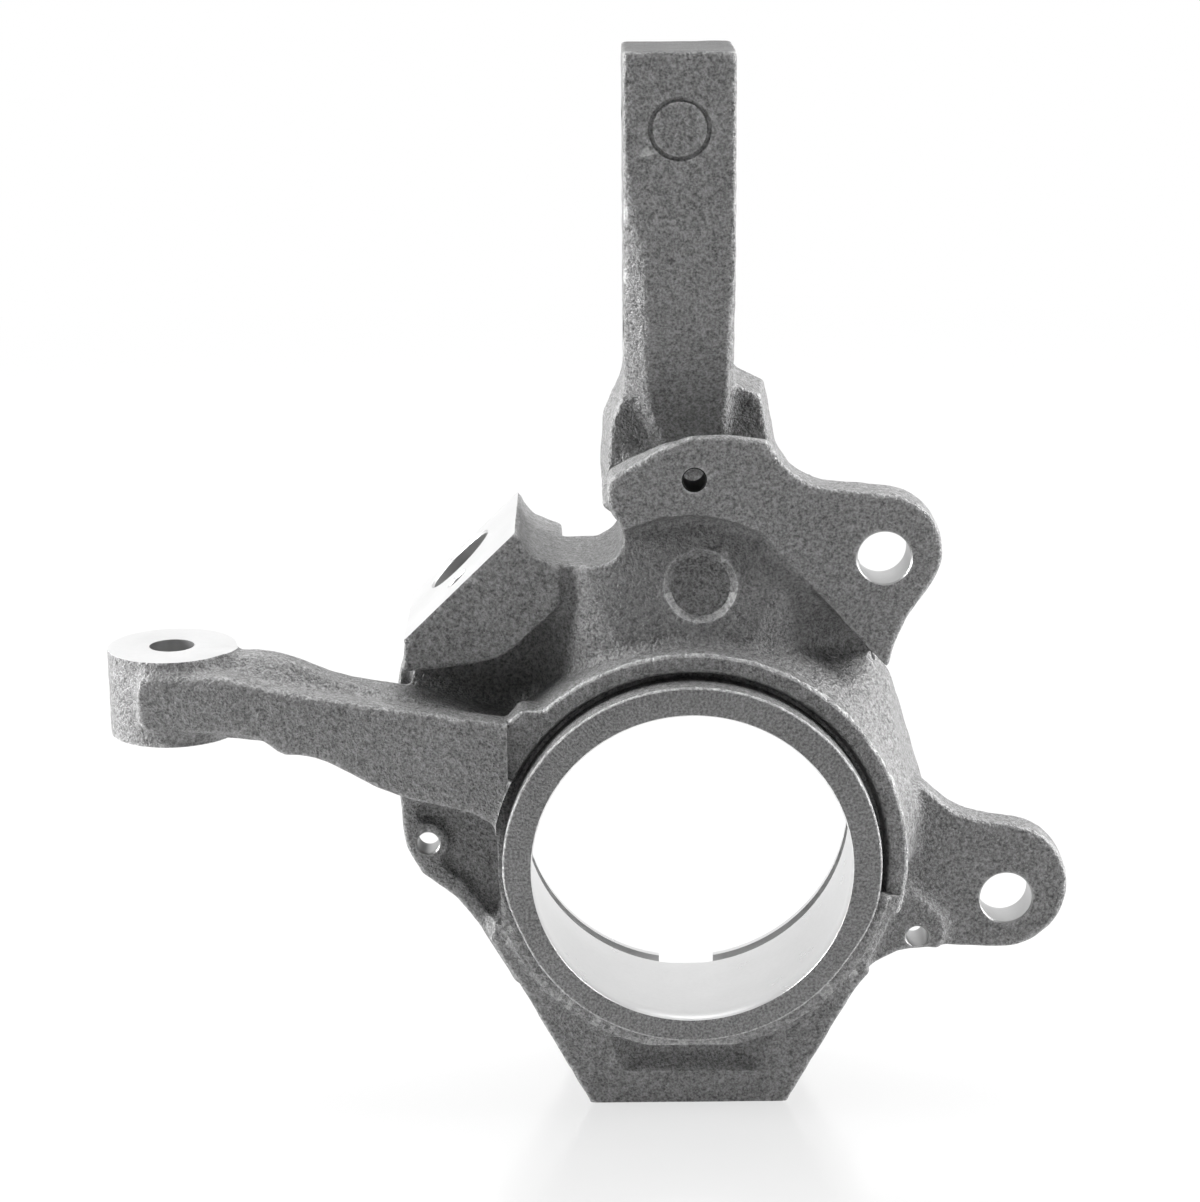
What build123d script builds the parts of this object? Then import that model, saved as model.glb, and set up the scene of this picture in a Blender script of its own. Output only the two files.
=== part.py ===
"""Steering knuckle of a strut front suspension: one sand casting with machined seats.

The origin lies on the wheel bearing's axis, in the front face of the hub ring.
Seen from the wheel, +X points right and +Z up. +Y points inboard, away from the wheel.
All sizes are in millimetres.
"""
import os
from math import atan2, cos, radians, sin

from build123d import *

# Wheel bearing housing, with a shoulder lip in front and a snap ring behind the bearing
bearing_d = 80.0
bearing_w = 37.0
lip_d = 74.6
lip_t = 4.8
lip_mouth = 1.3
snap_groove_w = 4.0
snap_groove_d = 85.0
end_land_t = 2.8
puller_notch_w = 13.5
barrel_wall = 10.0
barrel_depth = lip_t + bearing_w + snap_groove_w + end_land_t

# Hub front: a lip ring, the seal groove round it and the cast ring outside that
lip_ring_d = 88.4
seal_groove_d = 93.4
seal_groove_bottom = 9.0
hub_ring_d = 102.0
hub_ring_y = 5.2
hub_edge_r = 1.6
ring_from, ring_to = -16.0, 168.0
groove_from, groove_to = -10.0, 180.0
flank_back_y = 35.0
flank_corner_r = 66.0
flank_draft = 10.0

# Shared planes of the casting's front, as distances inboard of the hub face
shield_pad_y = 14.0
lower_ear_y = 16.5
ear_back_y = 25.0
caliper_pad_y = 26.0
web_crown_y = 10.5
web_side_y = 27.0
web_cone = 0.22
web_back_y = 46.0
foot_y = 9.0
foot_z = -62.5

# Strut arm: a straight blade clamped between the two sides of the strut's bracket
strut_arm_w = 25.9
strut_arm_x = -2.0
strut_arm_t = 30.0
strut_arm_y = 25.0
strut_arm_top = 185.8
strut_arm_root_y = 36.0
strut_bolt_d = 14.2
strut_bolt_down = 14.3
strut_bolt_pitch = 50.0
strut_bolt_y = 41.0
shoulder_y = 37.0
shoulder_draft = 8.0
shoulder_left = -19.9
shoulder_right = 19.0
shoulder_z = 99.0

# Cast corners of the strut arm: way down from its top, front depth, width and depth of the cut
facets_left = ((24, 25.0, 1.0, 0.6), (45, 25.2, 4.0, 2.2), (73, 30.6, 6.2, 4.6), (95, 36.2, 10.2, 9.0))
facets_right = ((50, 25.6, 0.4, 0.4), (66, 28.6, 1.7, 3.0), (95, 36.2, 2.2, 7.0))

# Caliper ears
caliper_hole_d = 12.4
caliper_pad_d = 26.0
upper_ear_x, upper_ear_z = 44.8, 70.8
upper_ear_r = 14.0
lower_ear_x, lower_ear_z = 75.5, -13.8
lower_ear_r = 14.6
ear_edge_r = 1.4

# Splash shield screws
shield_hole_d = 5.2
shield_hole_depth = 14.0
shield_top_x, shield_top_z = 0.9, 89.6
shield_left_x, shield_left_z = -62.0, 2.2
shield_right_x, shield_right_z = 54.2, -22.6
shield_pad_t = 7.3
shield_rim_w = 2.2
flange_pocket_depth = 2.6
hub_flat_x = 44.7

# Wheel speed sensor seat: a milled face square to a radius of the hub
sensor_angle = 134.2
sensor_face_r = 83.4
sensor_face_from, sensor_face_to = -11.9, 24.6
sensor_block_y = 16.0
sensor_block_back = 60.0
sensor_bore_d = 18.4
sensor_bore_y = 46.5
sensor_bore_shift = 5.0
sensor_bore_depth = 27.0
sensor_screw_d = 5.2
sensor_screw_y = 28.0
sensor_screw_depth = 14.0

# Steering arm and the seat of the tie rod end
tie_rod_x, tie_rod_y = -121.9, 24.5
tie_rod_boss_d = 30.3
tie_rod_top = 48.4
tie_rod_boss_h = 20.5
tie_rod_small_d = 10.6
steering_arm_hub_y = 3.2
steering_arm_end_y = 7.6
steering_arm_back_y = 33.0

# Foot under the hub: its milled underside takes the ball joint's flange with two screws
foot_w = 47.6
foot_x = -0.5
foot_back_y = 52.0
foot_screw_d = 10.4
foot_screw_pitch = 26.0
foot_screw_depth = 11.0
foot_pocket_depth = 6.0
pocket_roof_r = 46.2

# Taper of the tie rod stud, in diameter over length
stud_taper = 1.0 / 8.0

# Round casting marks
mark_d = 15.5
mark_depth = 2.0
web_mark_x, web_mark_z = 2.4, 64.6
arm_mark_d = 13.4
arm_mark_down = 17.5

hub_r = hub_ring_d / 2
barrel_r = bearing_d / 2 + barrel_wall
strut_left = strut_arm_x - strut_arm_w / 2
strut_right = strut_arm_x + strut_arm_w / 2
strut_bolt_z = strut_arm_top - strut_bolt_down


def front_plane(y):
    """The XZ plane at depth y; what is extruded from it grows towards the wheel."""
    return Plane.XZ.offset(-y)


# Bearing housing: the barrel with a narrow step and the lip ring at its front
with BuildPart() as housing:
    with BuildSketch(Plane.YZ) as housing_section:
        with BuildLine() as housing_outline:
            Polyline(
                (0, 0),
                (0, lip_ring_d / 2),
                (hub_ring_y - 1.4, lip_ring_d / 2),
                (hub_ring_y - 1.4, seal_groove_d / 2),
                (foot_y, seal_groove_d / 2),
                (foot_y, barrel_r),
                (barrel_depth, barrel_r),
                (barrel_depth, 0),
                close=True,
            )
        make_face()
    revolve(axis=Axis.Y)
    lip_rim = housing.edges().filter_by(GeomType.CIRCLE).filter_by(lambda e: e.center().Y < 0.01)
    fillet(lip_rim, radius=hub_edge_r / 2)
    chamfer(housing.faces().sort_by(Axis.Y)[-1].edges(), length=hub_edge_r)

# Cast ring round the seal groove; it fades out below, where foot and flange take over
with BuildPart() as hub_ring:
    with BuildSketch(front_plane(web_side_y)) as ring_view:
        Circle(hub_r)
        with BuildLine():
            Polyline(
                (0, 0),
                (2 * hub_r * cos(radians(ring_from)), 2 * hub_r * sin(radians(ring_from))),
                (2 * hub_r, -2 * hub_r),
                (-2 * hub_r, -2 * hub_r),
                (2 * hub_r * cos(radians(ring_to)), 2 * hub_r * sin(radians(ring_to))),
                close=True,
            )
        make_face(mode=Mode.SUBTRACT)
    extrude(amount=web_side_y - hub_ring_y)
    ring_rim = hub_ring.edges().filter_by(GeomType.CIRCLE).sort_by(Axis.Y)[0]
    fillet(ring_rim, radius=hub_edge_r)

# Right flank of the hub: a steep flare from the ring back to the parting line
with BuildPart() as hub_flank:
    with BuildSketch(front_plane(flank_back_y)) as flank_view:
        with BuildLine():
            Polyline((0, -6), (0, 34), (33, 38), (47.2, 43.5), (57.4, 9.6), (56.4, -6), close=True)
        make_face()
        fillet(flank_view.vertices().sort_by(Axis.X)[3], radius=7)
    extrude(amount=flank_back_y - hub_ring_y, taper=flank_draft)
    with BuildSketch(front_plane(flank_back_y)) as flank_tail:
        with BuildLine():
            Polyline((0, -6), (0, 34), (33, 38), (46.2, 41.5), (56.4, 9.6), (55.4, -6), close=True)
        make_face()
    extrude(amount=flank_back_y - web_back_y)
    # towards the wheel a cone round the hub brings it down to the ring's edge
    with BuildSketch(Plane.YZ) as flank_cone:
        with BuildLine():
            Polyline(
                (hub_ring_y + 0.4, 0),
                (hub_ring_y + 0.4, hub_r - hub_edge_r),
                (flank_back_y, flank_corner_r),
                (web_back_y, flank_corner_r),
                (web_back_y, 0),
                close=True,
            )
        make_face()
    revolve(axis=Axis.Y, mode=Mode.INTERSECT)

# Web between hub and upper plate: crowned in plan, coned round the hub, cut to its outline
with BuildPart() as web:
    with BuildSketch(Plane.XY.offset(-40)) as web_plan:
        with BuildLine() as web_plan_line:
            web_front = Spline(
                (-74, web_side_y + 4),
                (-37, web_side_y),
                (-27, web_crown_y + 6.5),
                (-2, web_crown_y - 1),
                (20, web_crown_y + 3),
                (36, web_crown_y + 12),
                (48, web_side_y + 8),
                (58, web_back_y),
            )
            Polyline(web_front @ 1, (58, web_back_y + 2), (-74, web_back_y + 2), web_front @ 0)
        make_face()
    extrude(amount=150)
    with BuildSketch(front_plane(web_back_y)) as web_front_view:
        with BuildLine() as web_outline:
            right_flank = Spline((42, 62), (46.5, 42), (50.5, 27), (55, 12), (52, -6))
            Polyline(
                right_flank @ 1,
                (30, -38),
                (-30, -38),
                (-52, -8),
                (-64, 12),
            )
            left_flank = Spline((-64, 12), (-70, 30), (-67, 44), (-50, 60), (-34, 72))
            Polyline(left_flank @ 1, (-30, 84), (30, 84), right_flank @ 0)
        make_face()
    extrude(amount=web_back_y + 10, mode=Mode.INTERSECT)
    with BuildSketch(Plane.YZ) as web_cone_section:
        with BuildLine():
            Polyline(
                (web_crown_y, 0),
                (web_crown_y, hub_r - 1),
                (web_crown_y + 60 * web_cone, hub_r + 59),
                (web_back_y + 5, hub_r + 59),
                (web_back_y + 5, 0),
                close=True,
            )
        make_face()
    revolve(axis=Axis.Y, mode=Mode.INTERSECT)

# Strut arm and its shoulders: the front view crossed with the side view
with BuildPart() as strut_arm:
    with BuildSketch(Plane.YZ.offset(strut_left)) as blade_side:
        with BuildLine() as blade_line:
            blade_front = Spline(
                (strut_arm_y, strut_arm_top - 38),
                (strut_arm_y + 3, strut_arm_top - 62),
                (strut_arm_root_y, strut_arm_top - 92),
                tangents=((0, -1), (0.12, -1)),
            )
            blade_back = Spline(
                (strut_arm_y + strut_arm_t, strut_arm_top - 66),
                (strut_arm_y + strut_arm_t - 3, strut_arm_top - 92),
                (web_back_y, 74),
                tangents=((0, -1), (-0.25, -1)),
            )
            Polyline(blade_front @ 1, (strut_arm_root_y, 50), blade_back @ 1)
            Polyline(
                blade_back @ 0,
                (strut_arm_y + strut_arm_t, strut_arm_top),
                (strut_arm_y, strut_arm_top),
                blade_front @ 0,
            )
        make_face()
    extrude(amount=strut_arm_w)
    # both front corners are cast off, more and more towards the root
    for side, cuts in ((strut_left, facets_left), (strut_right, facets_right)):
        inward = 1 if side < strut_arm_x else -1
        for down, front_y, width, depth in cuts:
            with BuildSketch(Plane.XY.offset(strut_arm_top - down)):
                with BuildLine():
                    Polyline(
                        (side - inward, front_y - 3),
                        (side + inward * width, front_y - 3),
                        (side + inward * width, front_y),
                        (side, front_y + depth),
                        (side - inward, front_y + depth),
                        close=True,
                    )
                make_face()
        loft(mode=Mode.SUBTRACT)
    strut_top = strut_arm.faces().sort_by(Axis.Z)[-1]
    fillet(strut_top.edges().filter_by(Axis.X), radius=1.2)

with BuildPart() as shoulders:
    with BuildSketch(front_plane(strut_arm_y + strut_arm_t - 4)) as shoulder_view:
        with BuildLine() as shoulder_line:
            Polyline(
                (shoulder_left - 1.2, 60),
                (shoulder_left - 1.4, 82),
                (shoulder_left, shoulder_z),
                (strut_left, shoulder_z + 11),
                (strut_right, shoulder_z + 11),
                (shoulder_right, shoulder_z + 7),
                (shoulder_right + 3, shoulder_z - 8),
                (shoulder_right + 9, 82),
                (44, 60),
                close=True,
            )
        make_face()
    extrude(amount=strut_arm_y + strut_arm_t - 4 - shoulder_y, taper=shoulder_draft)
    # the back slopes from the arm's back down to the web's back
    with BuildSketch(Plane.YZ.offset(-60)) as shoulder_slope:
        with BuildLine():
            Polyline(
                (strut_arm_y + strut_arm_t - 3, strut_arm_top - 76),
                (strut_arm_y + strut_arm_t + 10, strut_arm_top - 76),
                (strut_arm_y + strut_arm_t + 10, 55),
                (web_back_y + 1, 55),
                close=True,
            )
        make_face()
    extrude(amount=120, mode=Mode.SUBTRACT)

# Upper plate: carries the top shield screw and ends in the upper caliper ear
with BuildPart() as upper_plate:
    with BuildSketch(front_plane(ear_back_y)) as plate_view:
        with BuildLine() as plate_line:
            hollow = ThreePointArc((-15.6, 77.4), (0.6, 81.0), (16.5, 76.6))
            edge = Line(hollow @ 1, (46.3, 43.6))
            Polyline(edge @ 1, (47.2, 48.6), (50.2, 56.0), (55.4, 63.6))
            ear = ThreePointArc(
                (55.4, 63.6),
                (upper_ear_x + upper_ear_r * cos(radians(20)), upper_ear_z + upper_ear_r * sin(radians(20))),
                (46.6, 85.8),
            )
            Line(ear @ 1, (35.0, 87.0))
            neck = ThreePointArc((35.0, 87.0), (26.0, 89.4), (20.4, 94.6))
            Polyline(
                neck @ 1,
                (17.8, 98.6),
                (9.0, 99.9),
                (0.0, 99.7),
                (-6.3, 97.4),
                (-13.6, 93.0),
                (-18.6, 90.2),
            )
            ThreePointArc((-18.6, 90.2), (-18.9, 83.6), (-15.6, 77.4))
        make_face()
    extrude(amount=ear_back_y - shield_pad_y)
    # behind its front edge the plate's top falls away towards the strut arm
    with BuildSketch(Plane.YZ.offset(-25)) as plate_slope:
        with BuildLine():
            Polyline(
                (shield_pad_y + 3.2, 102),
                (shield_pad_y + 3.2, 98.2),
                (ear_back_y + 1, 92.0),
                (ear_back_y + 1, 102),
                close=True,
            )
        make_face()
    extrude(amount=45, mode=Mode.SUBTRACT)
    plate_rim = upper_plate.faces().sort_by(Axis.Y)[0].edges()
    fillet(plate_rim.filter_by(lambda e: abs(e.length - hollow.length) > 0.01), radius=ear_edge_r / 2)

# Lower ear, and the raised island that takes the right shield screw
with BuildPart() as lower_ear:
    with BuildSketch(front_plane(ear_back_y)) as ear_view:
        with BuildLine() as ear_line:
            ear_top = Spline(
                (54.2, 15.4),
                (62.4, 8.4),
                (73.4, 5.0),
                (84.2, 1.6),
                tangents=((0.8, -0.6), (0.8, -0.6)),
            )
            ear_round = ThreePointArc(
                ear_top @ 1,
                (lower_ear_x + lower_ear_r, lower_ear_z + 1.5),
                (lower_ear_x - 2.0, -26.6),
            )
            Polyline(ear_round @ 1, (60.0, -26.0), (48.0, -27.5), (36.0, -24.0), (36.0, 8.0), ear_top @ 0)
        make_face()
    extrude(amount=ear_back_y - lower_ear_y)
    fillet(lower_ear.faces().sort_by(Axis.Y)[0].edges().filter_by(GeomType.LINE, reverse=True), radius=0.8)

with BuildPart() as island:
    with BuildSketch(front_plane(ear_back_y)) as island_view:
        with BuildLine() as island_line:
            island_edge = Spline(
                (46.0, -4.0),
                (49.6, -8.2),
                (57.4, -14.6),
                (61.2, -21.0),
                (59.6, -25.8),
            )
            island_foot = Spline(
                island_edge @ 1,
                (54.0, -25.2),
                (46.5, -28.0),
                (40.2, -34.2),
                tangents=((-1, 0), (-0.45, -0.9)),
            )
            Polyline(island_foot @ 1, (30, -34.2), (30, -4), island_edge @ 0)
        make_face()
    extrude(amount=ear_back_y - shield_pad_y)

# Left flange with the third shield screw
with BuildPart() as left_flange:
    with BuildSketch(front_plane(shield_pad_y + shield_pad_t)) as flange_view:
        with BuildLine() as flange_line:
            Polyline(
                (-68.8, 20.0),
                (-68.0, 6.0),
                (-67.2, 1.0),
                (-63.6, -5.6),
                (-55.9, -11.4),
                (-50.6, -18.2),
                (-41.6, -33.9),
                (-30.0, -30.0),
                (-30.0, 20.0),
                close=True,
            )
        make_face()
        fillet(flange_view.vertices().filter_by(lambda v: v.X < -55 and v.Y < 5), radius=4)
    extrude(amount=shield_pad_t)

# Sensor block, from the milled face down to the web
sensor_out = Vector(cos(radians(sensor_angle)), 0, sin(radians(sensor_angle)))
sensor_along = Vector(sin(radians(sensor_angle)), 0, -cos(radians(sensor_angle)))
sensor_face_a = sensor_out * sensor_face_r + sensor_along * sensor_face_from
sensor_face_b = sensor_out * sensor_face_r + sensor_along * sensor_face_to

with BuildPart() as sensor_block:
    with BuildSketch(front_plane(sensor_block_back)) as block_view:
        with BuildLine() as block_line:
            milled = Line((sensor_face_a.X, sensor_face_a.Z), (sensor_face_b.X, sensor_face_b.Z))
            Polyline(milled @ 1, (-37.2, 71.8), (-29.8, 68.9), (-30.0, 60.4))
            belly = Spline(
                (-30.0, 60.4),
                (-36.3, 53.6),
                (-43.6, 47.4),
                (-53.0, 44.9),
                (-67.4, 43.4),
                tangents=((-0.5, -1), (-1, -0.1)),
            )
            Polyline(belly @ 1, (-66.8, 48.0), milled @ 0)
        make_face()
    extrude(amount=sensor_block_back - sensor_block_y)
    # behind the barrel the block is hollowed for the tone ring on the drive shaft
    with BuildSketch(front_plane(sensor_block_back)) as tone_ring_room:
        Circle(sensor_face_r - sensor_bore_depth)
    extrude(amount=sensor_block_back - barrel_depth - 0.6, mode=Mode.SUBTRACT)
    block_front = sensor_block.faces().sort_by(Axis.Y)[0]
    fillet(block_front.edges().filter_by(GeomType.BSPLINE), radius=0.8)

# A rib carries the sensor block on the barrel
with BuildPart() as sensor_root:
    with BuildSketch(front_plane(barrel_depth)) as root_view:
        with BuildLine():
            Polyline((-66, 44), (-30, 66), (-10, 49), (-40, 20), (-64, 30), close=True)
        make_face()
    extrude(amount=barrel_depth - web_side_y)

# Steering arm: a rounded bar, the flat pad on its front and the boss at its end
arm_slope = (steering_arm_end_y - steering_arm_hub_y) / (-tie_rod_x - 42)
with BuildPart() as arm_bar:
    with BuildSketch(front_plane(steering_arm_back_y + 8)) as bar_view:
        with BuildLine() as bar_line:
            bar_top = Spline(
                (-40.0, 31.0),
                (-56.0, 35.4),
                (-70.0, 39.0),
                (-84.0, 42.6),
                (tie_rod_x + 24.9, tie_rod_top - 0.6),
                (tie_rod_x + 9.9, tie_rod_top - 1.5),
                tangents=((-1, 0.2), (-1, -0.2)),
            )
            bar_bottom = Polyline(
                bar_top @ 1,
                (tie_rod_x + 9.9, tie_rod_top - 18.4),
                (tie_rod_x + 23.1, tie_rod_top - 19.8),
                (tie_rod_x + 26.9, tie_rod_top - 23.0),
            )
            bar_belly = Spline(
                bar_bottom @ 1,
                (-86.0, 24.8),
                (-76.9, 21.4),
                (-67.4, 17.4),
                (-53.8, 14.6),
                (-40.0, 10.0),
                tangents=((1, 0), (1, -0.5)),
            )
            Line(bar_belly @ 1, bar_top @ 0)
        make_face()
    extrude(amount=60)
    with BuildSketch(Plane.XY) as bar_plan:
        with BuildLine() as bar_plan_line:
            bar_front = Polyline(
                (-40.0, steering_arm_hub_y + 4),
                (tie_rod_x + 7.9, steering_arm_end_y + 3.5),
                (tie_rod_x + 7.9, tie_rod_y + 8),
            )
            Spline(
                bar_front @ 1,
                (tie_rod_x + 21.9, tie_rod_y + 4),
                (-72.0, steering_arm_back_y - 2),
                (-40.0, steering_arm_back_y + 6),
                tangents=((1, -0.5), (1, 0.5)),
            )
            Line((-40.0, steering_arm_back_y + 6), (-40.0, steering_arm_hub_y + 4))
        make_face()
    extrude(amount=80, mode=Mode.INTERSECT)
    bar_ridges = arm_bar.edges().filter_by(lambda e: e.center().Z > 36 and e.length > 50)
    chamfer(bar_ridges, length=6.5)

with BuildPart() as steering_arm:
    with BuildSketch(front_plane(tie_rod_y)) as pad_view:
        with BuildLine() as pad_line:
            pad_upper = Polyline(
                (-42.4, 34.8),
                (-74.6, 39.0),
                (tie_rod_x + 24.1, tie_rod_top - 5.6),
                (tie_rod_x + 13.5, tie_rod_top - 2.8),
                (tie_rod_x - 7.1, tie_rod_top - 3.0),
            )
            pad_lower = Polyline(
                (tie_rod_x - 7.1, tie_rod_top - 16.2),
                (tie_rod_x + 14.5, tie_rod_top - 16.7),
                (tie_rod_x + 22.3, tie_rod_top - 18.2),
                (tie_rod_x + 26.5, tie_rod_top - 21.6),
            )
            pad_belly = Spline(
                pad_lower @ 1,
                (-86.0, 25.4),
                (-76.9, 20.8),
                (-67.4, 16.6),
                (-53.8, 13.4),
                (-42.4, 8.4),
                tangents=((1, 0), (1, -0.5)),
            )
            Line(pad_upper @ 1, pad_lower @ 0)
            Line(pad_belly @ 1, pad_upper @ 0)
        make_face()
    extrude(amount=40)
    with BuildSketch(Plane.XY) as pad_plan:
        with BuildLine():
            Polyline(
                (-42.4, steering_arm_hub_y),
                (tie_rod_x - 6.5, steering_arm_end_y + arm_slope * 6.5),
                (tie_rod_x - 6.5, steering_arm_end_y + 7),
                (-42.4, steering_arm_hub_y + 7),
                close=True,
            )
        make_face()
    extrude(amount=80, mode=Mode.INTERSECT)
    arm_face = steering_arm.faces().sort_by(Axis.Y)[0]
    fillet(arm_face.edges().filter_by(lambda e: e.center().X < -45), radius=0.9)
    add(arm_bar.part)
    with BuildSketch(Plane.XY.offset(tie_rod_top)) as boss_plan:
        with Locations((tie_rod_x, tie_rod_y)):
            Circle(tie_rod_boss_d / 2)
    extrude(amount=-tie_rod_boss_h)

# Foot under the hub
with BuildPart() as foot:
    with BuildSketch(front_plane(foot_back_y)) as foot_view:
        with BuildLine() as foot_line:
            foot_left = Polyline(
                (foot_x - foot_w / 2, foot_z),
                (-41.0, -31.8),
                (-48.2, -19.9),
                (-hub_flat_x, -17.6),
                (-30, 0),
            )
            foot_right = Spline(
                (42.8, -29.8),
                (38.9, -34.8),
                (36.0, -39.6),
                tangents=((-0.8, -0.6), (-0.48, -0.88)),
            )
            Polyline(foot_left @ 1, (34, 0), foot_right @ 0)
            Polyline(foot_right @ 1, (foot_x + foot_w / 2, foot_z), foot_left @ 0)
        make_face()
    extrude(amount=foot_back_y - foot_y)
    # behind the barrel only a low tongue is left
    with BuildSketch(Plane.YZ.offset(-60)) as foot_tongue:
        with BuildLine():
            Polyline(
                (barrel_depth - hub_edge_r, 10),
                (barrel_depth - hub_edge_r, -barrel_r + 1),
                (foot_back_y + 1, -barrel_r - 4),
                (foot_back_y + 1, 10),
                close=True,
            )
        make_face()
    extrude(amount=120, mode=Mode.SUBTRACT)

# The casting, then what is machined into it
with BuildPart() as knuckle:
    add(housing.part)
    add(hub_ring.part)
    add(web.part)
    add(hub_flank.part)
    add(foot.part)
    add(left_flange.part)
    add(lower_ear.part)
    add(island.part)
    add(shoulders.part)
    add(strut_arm.part)
    add(upper_plate.part)
    add(sensor_root.part)
    add(sensor_block.part)
    add(steering_arm.part)

    # the gap between the sensor block and the upper plate
    with BuildSketch(front_plane(sensor_block_back + 5)) as gap_view:
        with BuildLine():
            gap_left = Spline((-41.2, 76.4), (-36.0, 71.6), (-29.0, 69.0), tangents=((1, -1.1), (1, -0.1)))
            gap_floor = Line(gap_left @ 1, (-23.4, 69.2))
            gap_right = ThreePointArc(gap_floor @ 1, (-15.7, 77.2), (-20.2, 82.2))
            Polyline(gap_right @ 1, (-21.0, 90), (-40, 90), gap_left @ 0)
        make_face()
    extrude(amount=sensor_block_back + 5, mode=Mode.SUBTRACT)

    # casting pocket in the foot, under the hub
    with BuildSketch(front_plane(foot_y + foot_pocket_depth)) as foot_pocket:
        with BuildLine():
            Polyline(
                (foot_x - 18.9, -pocket_roof_r),
                (foot_x - 16.5, foot_z + 8.9),
                (foot_x + 19.7, foot_z + 8.9),
                (foot_x + 21.7, -pocket_roof_r),
                close=True,
            )
        make_face()
        fillet(foot_pocket.vertices().filter_by(lambda v: v.Y < foot_z + 10), radius=2.5)
        Circle(pocket_roof_r, mode=Mode.SUBTRACT)
    extrude(amount=foot_pocket_depth, mode=Mode.SUBTRACT)

    # pocket between the left shield screw and the hub, whose side is flat there
    with BuildSketch(front_plane(shield_pad_y + flange_pocket_depth)) as flange_pocket:
        with BuildLine():
            Polyline(
                (-64.6, 12.0),
                (-64.6, 6.6),
                (-60.0, -2.4),
                (-54.0, -7.6),
                (-48.6, -14.6),
                (-hub_flat_x, -17.6),
                (-hub_flat_x, 9.2),
                (-53.8, 12.6),
                close=True,
            )
        make_face()
        with Locations((shield_left_x, shield_left_z)):
            Circle(shield_hole_d / 2 + shield_rim_w, mode=Mode.SUBTRACT)
    extrude(amount=shield_pad_y + flange_pocket_depth, mode=Mode.SUBTRACT)

    # bearing seat, shoulder lip, snap ring groove and end land
    with BuildSketch(Plane.YZ) as bore_section:
        with BuildLine():
            seat_end = lip_t + bearing_w
            Polyline(
                (-5, 0),
                (-5, lip_d / 2 + lip_mouth + 5),
                (lip_mouth, lip_d / 2),
                (lip_t, lip_d / 2),
                (lip_t, bearing_d / 2),
                (seat_end, bearing_d / 2),
                (seat_end, snap_groove_d / 2),
                (seat_end + snap_groove_w, snap_groove_d / 2),
                (seat_end + snap_groove_w, bearing_d / 2),
                (barrel_depth + 20, bearing_d / 2),
                (barrel_depth + 20, 0),
                close=True,
            )
        make_face()
    revolve(axis=Axis.Y, mode=Mode.SUBTRACT)

    # room for the snap ring's eyes, cut down through the end land
    with BuildSketch(front_plane(barrel_depth + 1)) as notch_view:
        with Locations((0, -bearing_d / 2)):
            Rectangle(puller_notch_w, snap_groove_d - bearing_d)
    extrude(amount=end_land_t + 1 + snap_groove_w, mode=Mode.SUBTRACT)

    # raised pads behind the ears, milled for the caliper bracket, and its bolts
    with BuildSketch(front_plane(caliper_pad_y)) as caliper_pads:
        with Locations((upper_ear_x, upper_ear_z), (lower_ear_x, lower_ear_z)):
            Circle(caliper_pad_d / 2)
    extrude(amount=caliper_pad_y - shield_pad_y - 4)
    with Locations(front_plane(0)):
        with Locations((upper_ear_x, upper_ear_z), (lower_ear_x, lower_ear_z)):
            Hole(caliper_hole_d / 2, depth=60)

    # shield screws: the top one ends in the valley before the strut arm
    with Locations(front_plane(shield_pad_y)):
        with Locations((shield_top_x, shield_top_z)):
            Hole(shield_hole_d / 2, depth=shield_hole_depth)
        with Locations((shield_left_x, shield_left_z), (shield_right_x, shield_right_z)):
            Hole(shield_hole_d / 2, depth=40)

    # wheel speed sensor and its screw
    sensor_plane = Plane(sensor_out * sensor_face_r, x_dir=sensor_along, z_dir=sensor_out)
    with Locations(sensor_plane):
        with Locations((sensor_bore_shift, sensor_bore_y)):
            Hole(sensor_bore_d / 2, depth=sensor_bore_depth)
        with Locations((sensor_bore_shift, sensor_screw_y)):
            Hole(sensor_screw_d / 2, depth=sensor_screw_depth)

    # strut bracket bolts
    with Locations(Plane.YZ.offset(strut_right)):
        with Locations(
            (strut_bolt_y, strut_bolt_z),
            (strut_bolt_y, strut_bolt_z - strut_bolt_pitch),
        ):
            Hole(strut_bolt_d / 2, depth=strut_arm_w)

    # tapered seat of the tie rod end
    tie_rod_big_d = tie_rod_small_d + tie_rod_boss_h * stud_taper
    with Locations((tie_rod_x, tie_rod_y, tie_rod_top - tie_rod_boss_h / 2)):
        Cone(tie_rod_big_d / 2, tie_rod_small_d / 2, tie_rod_boss_h, mode=Mode.SUBTRACT)

    # screws of the ball joint's flange, tapped from below
    with Locations(Plane.XY.offset(foot_z)):
        with Locations(
            (foot_x - foot_screw_pitch / 2, foot_back_y / 2 + foot_y / 2),
            (foot_x + foot_screw_pitch / 2, foot_back_y / 2 + foot_y / 2),
        ):
            Cylinder(
                foot_screw_d / 2,
                foot_screw_depth,
                align=(Align.CENTER, Align.CENTER, Align.MIN),
                mode=Mode.SUBTRACT,
            )

    # seal groove, open towards the wheel and fading out where the cast ring ends
    with BuildSketch(front_plane(seal_groove_bottom)) as groove_view:
        Circle(seal_groove_d / 2)
        Circle(lip_ring_d / 2, mode=Mode.SUBTRACT)
        with BuildLine():
            Polyline(
                (0, 0),
                (2 * hub_r * cos(radians(groove_from)), 2 * hub_r * sin(radians(groove_from))),
                (2 * hub_r, -2 * hub_r),
                (-2 * hub_r, -2 * hub_r),
                (2 * hub_r * cos(radians(groove_to)), 2 * hub_r * sin(radians(groove_to))),
                close=True,
            )
        make_face(mode=Mode.SUBTRACT)
    extrude(amount=seal_groove_bottom, mode=Mode.SUBTRACT)

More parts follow.
